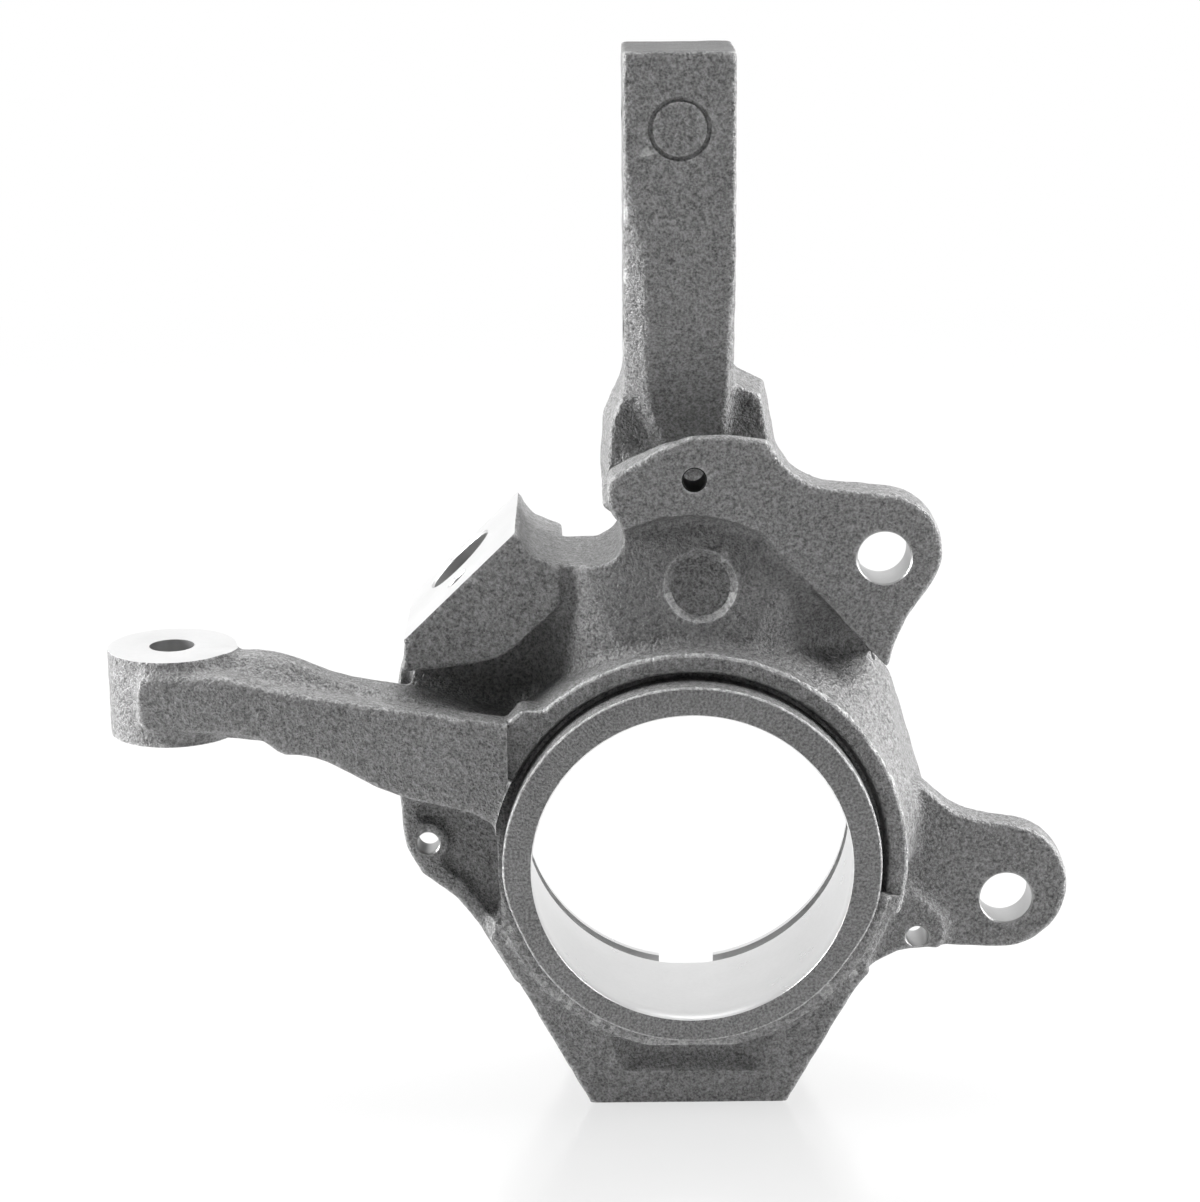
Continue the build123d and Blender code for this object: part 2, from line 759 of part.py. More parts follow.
    # round casting marks on the web and near the top of the strut arm
    web_tilt = atan2(web_cone, 1)
    web_mark_y = web_crown_y + (web_mark_z - hub_r) * web_cone
    web_mark_plane = Plane(
        (web_mark_x, web_mark_y, web_mark_z),
        x_dir=(1, 0, 0),
        z_dir=(0, -cos(web_tilt), sin(web_tilt)),
    )
    with Locations(web_mark_plane):
        Cone(mark_d / 2 - mark_depth, mark_d / 2 + mark_depth, 2 * mark_depth, mode=Mode.SUBTRACT)
    with BuildSketch(front_plane(strut_arm_y + 0.5)) as arm_mark:
        with Locations((strut_arm_x, strut_arm_top - arm_mark_down)):
            Circle(arm_mark_d / 2)
    extrude(amount=4, mode=Mode.SUBTRACT)

knuckle.part.label = "knuckle"

os.makedirs("parts", exist_ok=True)
export_step(knuckle.part, "parts/knuckle.step")
print("solids", len(knuckle.solids()), "volume cm3", round(knuckle.part.volume / 1000, 1))
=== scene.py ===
"""Studio picture of a sand cast steering knuckle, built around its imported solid.

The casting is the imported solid's surface, remade as foundry and machine shop would make it:
holes and seats are filled up, inner corners get the mould's fillets, the skin is softened and
made a little uneven, and then every seat, face and hole is cut sharp again in its own finish.
Lengths are in millimetres here and in metres in the meshes. -Y faces the wheel, +Z is up.
"""
from math import acos, atan, cos, degrees, radians, sin

import bmesh
import bpy
import numpy as np
from mathutils import Matrix, Vector


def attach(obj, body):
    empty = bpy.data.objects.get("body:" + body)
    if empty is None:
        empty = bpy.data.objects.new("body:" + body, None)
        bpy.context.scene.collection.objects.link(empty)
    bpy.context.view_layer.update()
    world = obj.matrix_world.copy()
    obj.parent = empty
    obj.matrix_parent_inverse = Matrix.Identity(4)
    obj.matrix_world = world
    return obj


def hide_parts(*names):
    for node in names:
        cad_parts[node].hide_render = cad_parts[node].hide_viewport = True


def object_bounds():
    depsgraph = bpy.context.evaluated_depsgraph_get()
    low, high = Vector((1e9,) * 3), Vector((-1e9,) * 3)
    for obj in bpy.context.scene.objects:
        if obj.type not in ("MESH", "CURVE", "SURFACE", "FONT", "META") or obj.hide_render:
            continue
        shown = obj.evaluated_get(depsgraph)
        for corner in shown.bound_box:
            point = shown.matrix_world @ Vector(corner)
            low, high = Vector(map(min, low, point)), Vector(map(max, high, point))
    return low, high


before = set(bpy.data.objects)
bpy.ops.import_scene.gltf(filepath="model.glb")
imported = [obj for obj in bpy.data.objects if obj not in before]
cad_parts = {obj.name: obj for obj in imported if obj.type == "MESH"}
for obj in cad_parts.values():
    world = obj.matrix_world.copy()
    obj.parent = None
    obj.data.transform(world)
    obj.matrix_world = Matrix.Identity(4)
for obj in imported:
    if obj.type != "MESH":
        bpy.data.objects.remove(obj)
cad_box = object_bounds()

MM = 0.001

# The skin: grid size, mould's fillets, passes of softening, and unevenness in waves of sand
VOXEL = 0.45
CLOSING_VOXEL = 1.5 * VOXEL
CASTING_TRIANGLES = 165000
MOULD_FILLET, SOFTENING = 1.3, 5
UNEVEN, WAVES, SHORTEST_WAVE, LONGEST_WAVE = 0.14, 14, 3.0, 11.0
CREASE_ANGLE = 38

# Hub: bore, snap ring groove, lip ring, seal groove and cast ring; sectors in degrees, from +X to +Z
BEARING_R, LIP_R, LIP_T, SEAT_END = 40.0, 37.3, 4.8, 41.8
SNAP_R, SNAP_END, BARREL_END, NOTCH_W = 42.5, 45.8, 48.6, 13.5
RING_R, RING_Y, GROOVE_IN, GROOVE_OUT, GROOVE_Y, STEP_Y = 51.0, 5.2, 44.2, 46.7, 9.0, 3.8
RING_FROM, RING_TO, GROOVE_FROM, GROOVE_TO = -16.0, 153.5, -10.0, 180.0
LIP_ROUND, RIM_ROUND, STEP_ROUND = 0.5, 1.2, 1.0
# below the ends of the groove the lip ring draws in to STEP_IN; the step is STEP_R wide
STEP_IN, STEP_R, STEP_FLOOR, DRAW_IN_OVER = 42.9, 48.3, 8.5, 25.0
# the ring's face widens beside the steering arm, and the groove runs out under it
FLARE_R, FLARE_FROM, FLARE_OVER = 54.9, 132.0, 5.0
RUN_OUT_FROM, RUN_OUT_OVER = 148.0, 24.0
# the groove's outer wall as (depth, radius): it leans back and rounds into the ring's face
GROOVE_SLOPE = ((7.2, 45.7), (6.2, 46.0), (5.65, 46.3), (5.3, 46.8), (RING_Y, 47.4))
HUB_FLAT_X, HUB_FLAT_LOW, HUB_FLAT_HIGH = 44.7, -15.5, 6.8
# the flank's cone as (depth, radius), and the angles between which it runs on under the web
CONE, CONE_FROM, CONE_TO = [(5.8, 46), (5.8, 49.5), (26, 60.9), (26, 46)], 37, 75

# Steering arm's pad: its side at the hub, and its far end with rounded corners
PAD_SIDE_X, PAD_END_X, PAD_END_TOP, PAD_END_BOTTOM = 42.6, -128.4, 45.4, 32.2
PAD_CORNER_R, PAD_FRONT, PAD_BACK = 3.0, 2.0, 10.4

# Holes: caliper bolts and shield screws as (x, z, front, depth), strut bolts as heights
CALIPER_HOLES = ((44.8, 70.8, 14.0, 16.0), (75.5, -13.8, 16.5, 14.0))
SHIELD_HOLES = ((0.9, 89.6, 14.0, 14.0), (-62.0, 2.2, 14.0, 9.0), (54.2, -22.6, 14.0, 15.0))
SHIELD_BACKS = (24.95, 21.25, 24.95)  # how deep the backs of the three pads lie
STRUT_HOLE_Y, STRUT_HOLES_Z = 41.0, (171.5, 121.5)
STRUT_LEFT, STRUT_RIGHT, STRUT_FRONT = -14.95, 10.95, 25.0
CALIPER_R, SHIELD_R, STRUT_R = 6.2, 2.6, 7.1
CALIPER_PAD_Y, CALIPER_PAD_R = 26.0, 13.0
SMALL_CHAMFER, CHAMFER = 0.4, 0.5

# Foot with its screw holes, as left, right, front and back edges
FOOT_Z, FOOT_LEFT, FOOT_RIGHT, FOOT_FRONT, FOOT_BACK = -62.5, -24.3, 23.3, 9.0, 52.0
FOOT_HOLES_X, FOOT_HOLE_Y, FOOT_HOLE_R, FOOT_HOLE_DEPTH = (-13.5, 12.5), 30.5, 5.2, 11.0
# its pocket: depth and inset of each layer, then the mouth's edges and corners
POCKET_LAYERS = ((2.6, 0), (8.9, 0), (10.4, 1.7), (11.3, 3.0), (11.8, 4.6))
POCKET_LEFT, POCKET_RIGHT, POCKET_ROOF, POCKET_LOW = -19.5, 20.0, -45.4, -54.6
POCKET_CORNER_LEFT, POCKET_CORNER_RIGHT, POCKET_CORNER_R = -15.6, 15.8, 2.2

# Sensor block: seat's place and size, then (depth behind the hub's front, radius, depth) of its holes
SENSOR_ANGLE, SENSOR_FACE, SENSOR_SHIFT = 134.2, 83.4, 5.0
SENSOR_SEAT_FROM, SENSOR_SEAT_TO = (-11.9, 16.0), (24.6, 60.0)
SENSOR_HOLES = ((46.5, 9.2, 27.0), (28.0, 2.6, 14.0))

# Tie rod boss and its tapered seat
TIE_X, TIE_Y, TIE_TOP, TIE_BOTTOM, TIE_R = -121.9, 24.5, 48.4, 27.9, 15.15
TIE_SMALL_R, TIE_BIG_R = 5.3, 6.58

# Round casting marks: centre, radius of the floor and depth
WEB_MARK, WEB_MARK_R, WEB_MARK_DEPTH, WEB_SLOPE = (2.4, 13.49, 64.6), 6.9, 1.9, 0.22
ARM_MARK, ARM_MARK_R, ARM_MARK_DEPTH = (-2.0, STRUT_FRONT, 168.3), 6.7, 0.6
# the web's painted shade lies in a circle round this place (x, z), and above this height the arm's top
# is painted in shade
WEB_MIDDLE, WEB_R, SHADED_TOP_Z = (-3.0, 21.0), 54.0, 184.9

# Stock for the cuts, and how plugs sit in their holes
SKIN, SEAT_SKIN, EAR_SKIN, MARK_SKIN = 0.8, 1.2, 0.9, 1.5
PLUG_SHORT, PLUG_DEEPER, BORE_PLUG_R = 0.05, 1.05, 43.6
# the foot's pocket is filled between these corners, to be cut anew
POCKET_FILL_FROM, POCKET_FILL_TO = (-20, 8.95, -54), (22, 16, -45)
# where the front tool starts, and how far tools reach past what they cut
FRONT, FRONT_TOOL_R, CLEAR = -5, 36, 3

X_AXIS, Y_AXIS, Z_AXIS = Vector((1, 0, 0)), Vector((0, 1, 0)), Vector((0, 0, 1))
CENTRE = (0, 0, 0)
PAD_FROM = 180 - degrees(acos(PAD_SIDE_X / FLARE_R))
SENSOR_OUT = Vector((cos(radians(SENSOR_ANGLE)), 0, sin(radians(SENSOR_ANGLE))))
SENSOR_ALONG = Vector((sin(radians(SENSOR_ANGLE)), 0, -cos(radians(SENSOR_ANGLE))))
SENSOR_FRAME = (SENSOR_OUT, SENSOR_ALONG, Y_AXIS)
WEB_OUT = Vector((0, -cos(atan(WEB_SLOPE)), sin(atan(WEB_SLOPE))))


def mesh_object(name, points, faces):
    """An object at the origin from points in millimetres and faces as rows of corners."""
    mesh = bpy.data.meshes.new(name)
    mesh.from_pydata((np.asarray(points, float) * MM).tolist(), [], [list(f) for f in faces])
    mesh.update()
    made = bpy.data.objects.new(name, mesh)
    bpy.context.scene.collection.objects.link(made)
    return made


def frame_of(axis):
    """Two unit vectors square to the axis, and the axis itself, right-handed."""
    axis = np.array(axis, float)
    axis /= np.linalg.norm(axis)
    side = np.cross((0, 0, 1), axis) if abs(axis[2]) < 0.9 else np.cross((0, 1, 0), axis)
    side /= np.linalg.norm(side)
    return side, np.cross(axis, side), axis


def grid_faces(i, j, rows, count):
    """Quads of a closed grid: corner (i, j) is point i * count + j, and both ways wrap round."""
    nxt, along = (i + 1) % rows, (j + 1) % count
    quads = np.stack([i * count + j, nxt * count + j, nxt * count + along, i * count + along], -1)
    return quads.reshape(-1, 4).tolist()


def lathe(name, profile, origin, axis, steps, start=0.0, end=360.0):
    """A closed solid of revolution.

    Row i of the profile is (way along the axis, radius); the point at turn t is
    origin + way * axis + radius * (cos t * side + sin t * up). A part turn is closed by its ends.
    Where both points of a side lie on the axis, it has no face.
    """
    profile = np.array(profile, float)
    whole = abs(end - start - 360) < 1e-6
    turns = np.radians(np.linspace(start, end, steps, endpoint=not whole))
    side, up, axis = frame_of(axis)
    ring = np.cos(turns)[:, None] * side + np.sin(turns)[:, None] * up
    along_axis = np.array(origin, float) + profile[None, :, :1] * axis
    points = along_axis + profile[None, :, 1:] * ring[:, None, :]
    rows, count = len(turns), len(profile)
    off_axis = np.flatnonzero(profile[:, 1] + np.roll(profile[:, 1], -1) > 0)
    i, j = np.meshgrid(np.arange(rows if whole else rows - 1), off_axis, indexing="ij")
    faces = grid_faces(i, j, rows, count)
    if not whole:
        faces.append(list(range(count)))
        faces.append([(rows - 1) * count + k for k in range(count)][::-1])
    made = mesh_object(name, points.reshape(-1, 3), faces)
    tidy_normals(made)
    return made


def rod(name, centre, axis, radius, low, high, chamfer=0.0, steps=64):
    """A round bar along the axis from low to high; its flared end cuts a chamfer at high."""
    profile = [(low, 0), (low, radius)]
    if chamfer:
        profile += [(high - chamfer, radius), (high + 2, radius + chamfer + 2)]
    else:
        profile += [(high, radius)]
    profile += [(profile[-1][0], 0)]
    return lathe(name, profile, centre, axis, steps)


def tidy_normals(thing):
    """Merges doubled points, as at a lathe's poles, and turns all faces outwards."""
    work = bmesh.new()
    work.from_mesh(thing.data)
    bmesh.ops.remove_doubles(work, verts=work.verts, dist=1e-7)
    bmesh.ops.dissolve_degenerate(work, edges=work.edges, dist=1e-8)
    bmesh.ops.recalc_face_normals(work, faces=work.faces)
    work.to_mesh(thing.data)
    work.free()


def block(name, low, high, axes=(X_AXIS, Y_AXIS, Z_AXIS)):
    """A box between two corners given along three axes."""
    low, high = np.array(low, float), np.array(high, float)
    corner = np.array([[i, j, k] for i in (0, 1) for j in (0, 1) for k in (0, 1)], float)
    local = low + corner * (high - low)
    points = local @ np.array([tuple(a) for a in axes], float)
    faces = [(0, 1, 3, 2), (4, 6, 7, 5), (0, 4, 5, 1), (2, 3, 7, 6), (0, 2, 6, 4), (1, 5, 7, 3)]
    made = mesh_object(name, points, faces)
    tidy_normals(made)
    return made


def prism(name, outline, low, high, axes):
    """A straight bar from low to high along the third axis.

    Point (a, b) of its outline lies at a * first axis + b * second axis.
    """
    outline, axes = np.array(outline, float), np.array([tuple(a) for a in axes], float)
    flat = outline @ axes[:2]
    points = np.concatenate([flat + low * axes[2], flat + high * axes[2]])
    count = len(outline)
    sides = [(k, (k + 1) % count, (k + 1) % count + count, k + count) for k in range(count)]
    made = mesh_object(name, points, sides + [range(count), range(count, 2 * count)])
    tidy_normals(made)
    return made


def joined(name, pieces):
    """One object from several, which are used up."""
    for other in bpy.context.selected_objects:
        other.select_set(False)
    for piece in pieces:
        piece.select_set(True)
    bpy.context.view_layer.objects.active = pieces[0]
    with bpy.context.temp_override(active_object=pieces[0], selected_editable_objects=pieces):
        bpy.ops.object.join()
    pieces[0].name = name
    pieces[0].select_set(False)
    return pieces[0]


def settle(thing):
    """Applies all modifiers and keeps the result as the object's own mesh."""
    seen = thing.evaluated_get(bpy.context.evaluated_depsgraph_get())
    fresh = bpy.data.meshes.new_from_object(seen)
    thing.modifiers.clear()
    old = thing.data
    thing.data = fresh
    bpy.data.meshes.remove(old)


def with_modifier(thing, kind, **settings):
    """Adds one modifier, sets it up and applies it."""
    added = thing.modifiers.new(kind.lower(), kind)
    for key, value in settings.items():
        setattr(added, key, value)
    settle(thing)


def remesh(thing, size):
    """Makes the surface anew on a grid of cubes of that size."""
    with_modifier(thing, "REMESH", mode="VOXEL", voxel_size=size * MM)


def offset(thing, distance):
    """Moves each point along its normal, outwards where the distance is positive."""
    with_modifier(thing, "DISPLACE", strength=distance * MM, mid_level=0.0, direction="NORMAL")


def uneven(thing, depth):
    """Sinks the skin by 0 to depth, as sand does.

    The sink is half of 1 + the sum of WAVES sine waves of random direction, length and phase,
    divided by the root of their number and held between -1 and 1.
    """
    mesh = thing.data
    count = len(mesh.vertices)
    place, normal = np.empty(count * 3), np.empty(count * 3)
    mesh.vertices.foreach_get("co", place)
    mesh.vertices.foreach_get("normal", normal)
    place, normal = place.reshape(-1, 3), normal.reshape(-1, 3)
    draws = np.random.default_rng(8)
    wave = np.zeros(count)
    for _ in range(WAVES):
        way = draws.normal(size=3)
        way /= np.linalg.norm(way)
        length = draws.uniform(SHORTEST_WAVE, LONGEST_WAVE) * MM
        wave += np.sin(place @ way * (2 * np.pi / length) + draws.uniform(0, 2 * np.pi))
    sink = depth * MM * (0.5 + 0.5 * np.clip(wave / np.sqrt(WAVES), -1, 1))
    place -= normal * sink[:, None]
    mesh.vertices.foreach_set("co", place.ravel())
    mesh.update()


def keep_within(thing, box):
    """Holds every point between the box's lowest and highest corner."""
    places = np.empty(3 * len(thing.data.vertices))
    thing.data.vertices.foreach_get("co", places)
    kept = np.clip(places.reshape(-1, 3), np.array(box[0]), np.array(box[1]))
    thing.data.vertices.foreach_set("co", kept.ravel())
    thing.data.update()


def cut(thing, cutter):
    """Cuts the cutter's shape out and uses it up; the cut faces take its material."""
    with_modifier(
        thing,
        "BOOLEAN",
        operation="DIFFERENCE",
        object=cutter,
        solver="EXACT",
        material_mode="TRANSFER",
    )
    bpy.data.objects.remove(cutter)


# Shader maths: sockets that add up, and the one method that makes nodes


class Socket:
    """A node's output; + - and * on it add Math nodes to its tree."""

    def __init__(self, shop, out):
        self.shop, self.out = shop, out

    def _with(self, kind, other, swapped=False):
        pair = (other, self) if swapped else (self, other)
        return self.shop.node("ShaderNodeMath", {"operation": kind}, pair)

    def __add__(self, other):
        return self._with("ADD", other)

    def __radd__(self, other):
        return self._with("ADD", other, True)

    def __sub__(self, other):
        return self._with("SUBTRACT", other)

    def __rsub__(self, other):
        return self._with("SUBTRACT", other, True)

    def __mul__(self, other):
        return self._with("MULTIPLY", other)

    def __rmul__(self, other):
        return self._with("MULTIPLY", other, True)

    def clamped(self):
        """The value, held between 0 and 1."""
        return self.shop.node("ShaderNodeClamp", {}, (self, 0.0, 1.0))


class Shop:
    """A node tree and the one method that makes its nodes."""

    def __init__(self, tree):
        self.tree = tree

    def node(self, kind, settings, values=(), output=0):
        """Makes a node: its settings first, then its inputs in order or by name."""
        made = self.tree.nodes.new(kind)
        for key, value in settings.items():
            if key == "stops":
                while len(made.color_ramp.elements) < len(value):
                    made.color_ramp.elements.new(0.5)
                for element, (at, level) in zip(made.color_ramp.elements, value):
                    element.position = at
                    element.color = (level, level, level, 1)
            else:
                setattr(made, key, value)
        items = values.items() if isinstance(values, dict) else enumerate(values)
        for key, value in items:
            if isinstance(value, Socket):
                self.tree.links.new(value.out, made.inputs[key])
            else:
                made.inputs[key].default_value = value
        return Socket(self, made.outputs[output])

    def surface(self, result):
        """Links the last shader to the tree's output."""
        kinds = ("ShaderNodeOutputMaterial", "ShaderNodeOutputWorld")
        ends = [n for n in self.tree.nodes if n.bl_idname in kinds]
        self.tree.links.new(result.out, ends[0].inputs["Surface"])


class Finish(Shop):
    """A material with its Principled shader, and the patterns that feed it."""

    def __init__(self, name):
        self.material = bpy.data.materials.new(name)
        self.material.use_nodes = True
        super().__init__(self.material.node_tree)
        self.shader = self.tree.nodes["Principled BSDF"]
        self.place = self.node("ShaderNodeTexCoord", {}, (), "Object")

    def noise(self, scale, detail=2.0, roughness=0.5, place=None):
        """Noise from 0 to 1 with that many grains to the metre."""
        return self.node(
            "ShaderNodeTexNoise",
            {},
            {"Vector": place or self.place, "Scale": scale, "Detail": detail, "Roughness": roughness},
        )

    def pointiness(self):
        """How much the surface stands out at its edges; 0.5 is flat."""
        return self.node("ShaderNodeNewGeometry", {}, (), "Pointiness")

    def axis(self, index):
        """The place along X, Y or Z, in metres."""
        return self.node("ShaderNodeSeparateXYZ", {}, (self.place,), index)

    def maths(self, operation, *values):
        """One Math node."""
        return self.node("ShaderNodeMath", {"operation": operation}, values)

    def ramp(self, value, *stops):
        """A level that follows the stops (value, level), which lie between 0 and 1."""
        return self.node("ShaderNodeValToRGB", {"stops": stops}, (value,))

    def band(self, way, start, span, *stops):
        """A level along a way: stops are (millimetres, level), between start and start + span."""
        share = (way - start * MM) * (1 / (span * MM))
        return self.ramp(share, *(((at - start) / span, level) for at, level in stops))

    def grey(self, value, low, high):
        """A neutral colour between two linear levels."""
        return self.node(
            "ShaderNodeMix",
            {"data_type": "RGBA"},
            {0: value, 6: (low, low, low, 1), 7: (high, high, high, 1)},
            2,
        )

    def bump(self, height, strength, distance):
        """Normals of a relief that is the distance high, in millimetres."""
        values = {"Strength": strength, "Distance": distance * MM, "Height": height}
        return self.node("ShaderNodeBump", {}, values)

    def set(self, **inputs):
        """Sets or links the shader's sockets by name, with _ for a space."""
        for key, value in inputs.items():
            socket = self.shader.inputs[key.replace("_", " ")]
            if isinstance(value, Socket):
                self.tree.links.new(value.out, socket)
            else:
                socket.default_value = value
        return self.material


def web_painted_shade(iron):
    """1 on the web between plate and ring, where its recess behind the plate is painted darker as
    shade, otherwise 0.

    It is what lies behind the plate's front, or within WEB_R of WEB_MIDDLE, between the scoop
    and the flank, and outside the casting mark. Stops are in millimetres.
    """
    x, y, z = iron.axis(0), iron.axis(1), iron.axis(2)

    def away(across, up):
        side, rise = x - across * MM, z - up * MM
        return iron.maths("SQRT", side * side + rise * rise)

    behind = iron.band(y, 0, 50, (14.2, 0.0), (14.65, 1.0), (20, 1.0), (21, 0.0))
    inside = 1 - iron.band(away(*WEB_MIDDLE), 0, 100, (WEB_R - 1, 0.0), (WEB_R, 1.0))
    inside = inside * iron.band(y, 0, 50, (7, 0.0), (10, 1.0))
    height = iron.band(z, 0, 200, (45, 0.0), (52, 1.0), (84, 1.0), (85, 0.0))
    width = iron.band(x, -100, 200, (-23, 0.0), (-16, 1.0), (32, 1.0), (40, 0.0))
    mark = iron.band(away(WEB_MARK[0], WEB_MARK[2]), 0, 100, (7, 0.0), (9, 1.0))
    return iron.maths("MAXIMUM", behind, inside) * height * width * mark


def cast_iron_finish(name, rub_and_highlight):
    """Blasted sand casting: dark grey, with a bright and dark grain of about half a millimetre.

    Its edges are brighter, partly from rubbing and partly as a painted highlight, and the second
    argument does that to the whole surface, from 0 to 1.
    """
    iron = Finish(name)
    grain = iron.noise(1900, 2.0, 0.6)
    pebbles = iron.noise(850, 3.0, 0.6)
    waves = iron.noise(190, 2.0, 0.5)
    patches = iron.noise(45, 3.0, 0.55)
    speck = iron.ramp(grain, (0.38, 0.0), (0.62, 1.0))
    pits = iron.ramp(pebbles, (0.36, 0.0), (0.64, 1.0))
    # convex edges are brighter: partly rubbing, partly a painted highlight
    edges = iron.ramp(iron.pointiness(), (0.51, 0.0), (0.55, 1.0))
    worn_and_highlit = (edges + rub_and_highlight).clamped() * (pits * 0.5 + 0.5)
    # tone, and the edges' rubbing with its painted highlight, are shares of the way from the darkest
    # to the brightest grey
    tone = (speck * 0.42 + pits * 0.38 + patches * 0.2).clamped() * 0.385
    wear_and_highlight = worn_and_highlit * 0.26
    # painted shade: the strut arm's upper end is painted darker than the rest, as the shade on its
    # top, and the web in the plate's recess a little darker
    scale = iron.band(iron.axis(2), 0, 200, (SHADED_TOP_Z, 0.0), (SHADED_TOP_Z + 0.6, 1.0))
    shade = (1 - scale * 0.9) * (1 - web_painted_shade(iron) * 0.3)
    return iron.set(
        Base_Color=iron.grey(tone * shade + wear_and_highlight, 0.055, 0.9),
        Metallic=0.6,
        Roughness=0.46 + patches * 0.14 + pits * 0.06,
        Normal=iron.bump(grain * 0.8 + pebbles + waves * 0.8, 1.0, 0.5),
    )


def faced_finish():
    """The lip ring's front: cast grey, with short streaks that run out from the bore."""
    face = Finish("faced_ring")
    across, up = face.axis(0), face.axis(2)
    turn = face.maths("ARCTAN2", up, across)
    radius = face.maths("SQRT", across * across + up * up)
    # 0.04 m of arc for each radian keeps the streaks about 0.6 mm wide on the lip
    place = face.node("ShaderNodeCombineXYZ", {}, (turn * 0.04, radius * 0.22, face.axis(1)))
    streaks = face.noise(1500, 2.0, 0.6, place)
    grain = face.noise(1700, 2.0, 0.6)
    patches = face.noise(60, 2.0, 0.5)
    speck = face.ramp(grain, (0.38, 0.0), (0.62, 1.0))
    lines = face.ramp(streaks, (0.34, 0.0), (0.68, 1.0))
    tone = (lines * 0.22 + speck * 0.5 + patches * 0.28).clamped()
    return face.set(
        Base_Color=face.grey(tone, 0.07, 0.36),
        Metallic=0.6,
        Roughness=0.46 + patches * 0.12,
        Normal=face.bump(streaks * 0.4 + grain * 0.8, 0.9, 0.4),
    )


def machined_finish(name, marks_scale, level, rough):
    """Turned, milled or drilled iron of that grey: fine tool marks and faint stains."""
    steel = Finish(name)
    marks = steel.noise(marks_scale, 2.0, 0.6)
    stains = steel.noise(90, 3.0, 0.6)
    return steel.set(
        Base_Color=steel.grey(stains * 0.6 + marks * 0.4, level * 0.9, level * 1.1),
        Metallic=0.9,
        Roughness=rough + stains * 0.1,
        Normal=steel.bump(marks, 0.12, 0.08),
    )


cast_iron = cast_iron_finish("cast_iron_skin", 0.0)
# the whole surface brightened: rubbing and a painted highlight, for edges and lit walls
rubbed_and_highlit = cast_iron_finish("edge_rubbing_and_highlight", 1.0)
faced = faced_finish()
turned = machined_finish("turned_bore", 900, 0.68, 0.24)
milled = machined_finish("milled_face", 700, 0.66, 0.34)
drilled = machined_finish("drilled_hole", 600, 0.50, 0.32)
# near black: painted shade deep in the top screw hole, not the iron's own colour
shaded_thread = machined_finish("threaded_hole_painted_shade", 1500, 0.03, 0.6)


# The casting


def sensor_place(y):
    """The middle of the sensor's seat, that deep behind the hub's front."""
    return tuple(SENSOR_ALONG * SENSOR_SHIFT + Y_AXIS * y)


def plug(centre, axis, radius, low, high):
    """A rod that fills a hole of a smaller radius and ends PLUG_SHORT inside its two faces."""
    return rod("fill", centre, axis, radius, low + PLUG_SHORT, high - PLUG_SHORT)


def sector(low, high):
    """Turns of a lathe about Y for the angles low to high, seen from the wheel, from +X to +Z."""
    return 180 - high, 180 - low


def fills():
    """Plugs and skins that bring the solid back to the raw casting before machining.

    Every plug is a little wider than its hole, so that it reaches into the solid around it.
    """
    raw_ring = round_hub("fill", ring_stock, np.linspace(RING_FROM + 1, RING_TO - 1, 140), False)
    tidy_normals(raw_ring)
    arm_mark = (ARM_MARK[0], 0, ARM_MARK[2])
    boss = (TIE_X, TIE_Y, 0)
    made = [
        rod("fill", CENTRE, Y_AXIS, BORE_PLUG_R, -SKIN, BARREL_END - PLUG_SHORT, steps=128),
        rod("fill", CENTRE, Y_AXIS, GROOVE_IN + 1.0, -SKIN, GROOVE_Y, steps=128),
        rod("fill", CENTRE, Y_AXIS, GROOVE_OUT - 0.2, STEP_Y - SKIN, GROOVE_Y, steps=128),
        block("fill", (-HUB_FLAT_X - SKIN, 0.4, HUB_FLAT_LOW), (-40, GROOVE_Y, HUB_FLAT_HIGH)),
        lathe("fill", CONE, CENTRE, Y_AXIS, 64, *sector(CONE_FROM, CONE_TO)),
        block("fill", POCKET_FILL_FROM, POCKET_FILL_TO),
        raw_ring,
        rod("fill", boss, Z_AXIS, TIE_R, TIE_BOTTOM - SEAT_SKIN, TIE_TOP + SEAT_SKIN, steps=96),
        block(
            "fill",
            (SENSOR_FACE - 2, *SENSOR_SEAT_FROM),
            (SENSOR_FACE + SEAT_SKIN, *SENSOR_SEAT_TO),
            SENSOR_FRAME,
        ),
        block(
            "fill",
            (FOOT_LEFT, FOOT_FRONT, FOOT_Z - SEAT_SKIN),
            (FOOT_RIGHT, FOOT_BACK, FOOT_Z + 1),
        ),
        rod("fill", arm_mark, Y_AXIS, ARM_MARK_R + 0.4, STRUT_FRONT, STRUT_FRONT + MARK_SKIN),
        rod("fill", WEB_MARK, WEB_OUT, WEB_MARK_R + 1.4, -4, 0.05),
    ]
    for x, z, front, _ in CALIPER_HOLES:
        ear = (x, 0, z)
        made.append(plug(ear, Y_AXIS, CALIPER_R + 0.8, front, CALIPER_PAD_Y))
        pad_from, pad_to = CALIPER_PAD_Y - 2, CALIPER_PAD_Y + EAR_SKIN
        made.append(rod("fill", ear, Y_AXIS, CALIPER_PAD_R, pad_from, pad_to))
    for (x, z, front, _), back in zip(SHIELD_HOLES, SHIELD_BACKS):
        made.append(plug((x, 0, z), Y_AXIS, SHIELD_R + 0.6, front, back))
    for z in STRUT_HOLES_Z:
        made.append(plug((0, STRUT_HOLE_Y, z), X_AXIS, STRUT_R + 0.7, STRUT_LEFT, STRUT_RIGHT))
    for y, radius, depth in SENSOR_HOLES:
        low = SENSOR_FACE - depth - PLUG_DEEPER
        made.append(plug(sensor_place(y), SENSOR_OUT, radius + 0.6, low, SENSOR_FACE))
    for x in FOOT_HOLES_X:
        high = FOOT_Z + FOOT_HOLE_DEPTH + PLUG_DEEPER
        made.append(plug((x, FOOT_HOLE_Y, 0), Z_AXIS, FOOT_HOLE_R + 0.8, FOOT_Z, high))
    return made


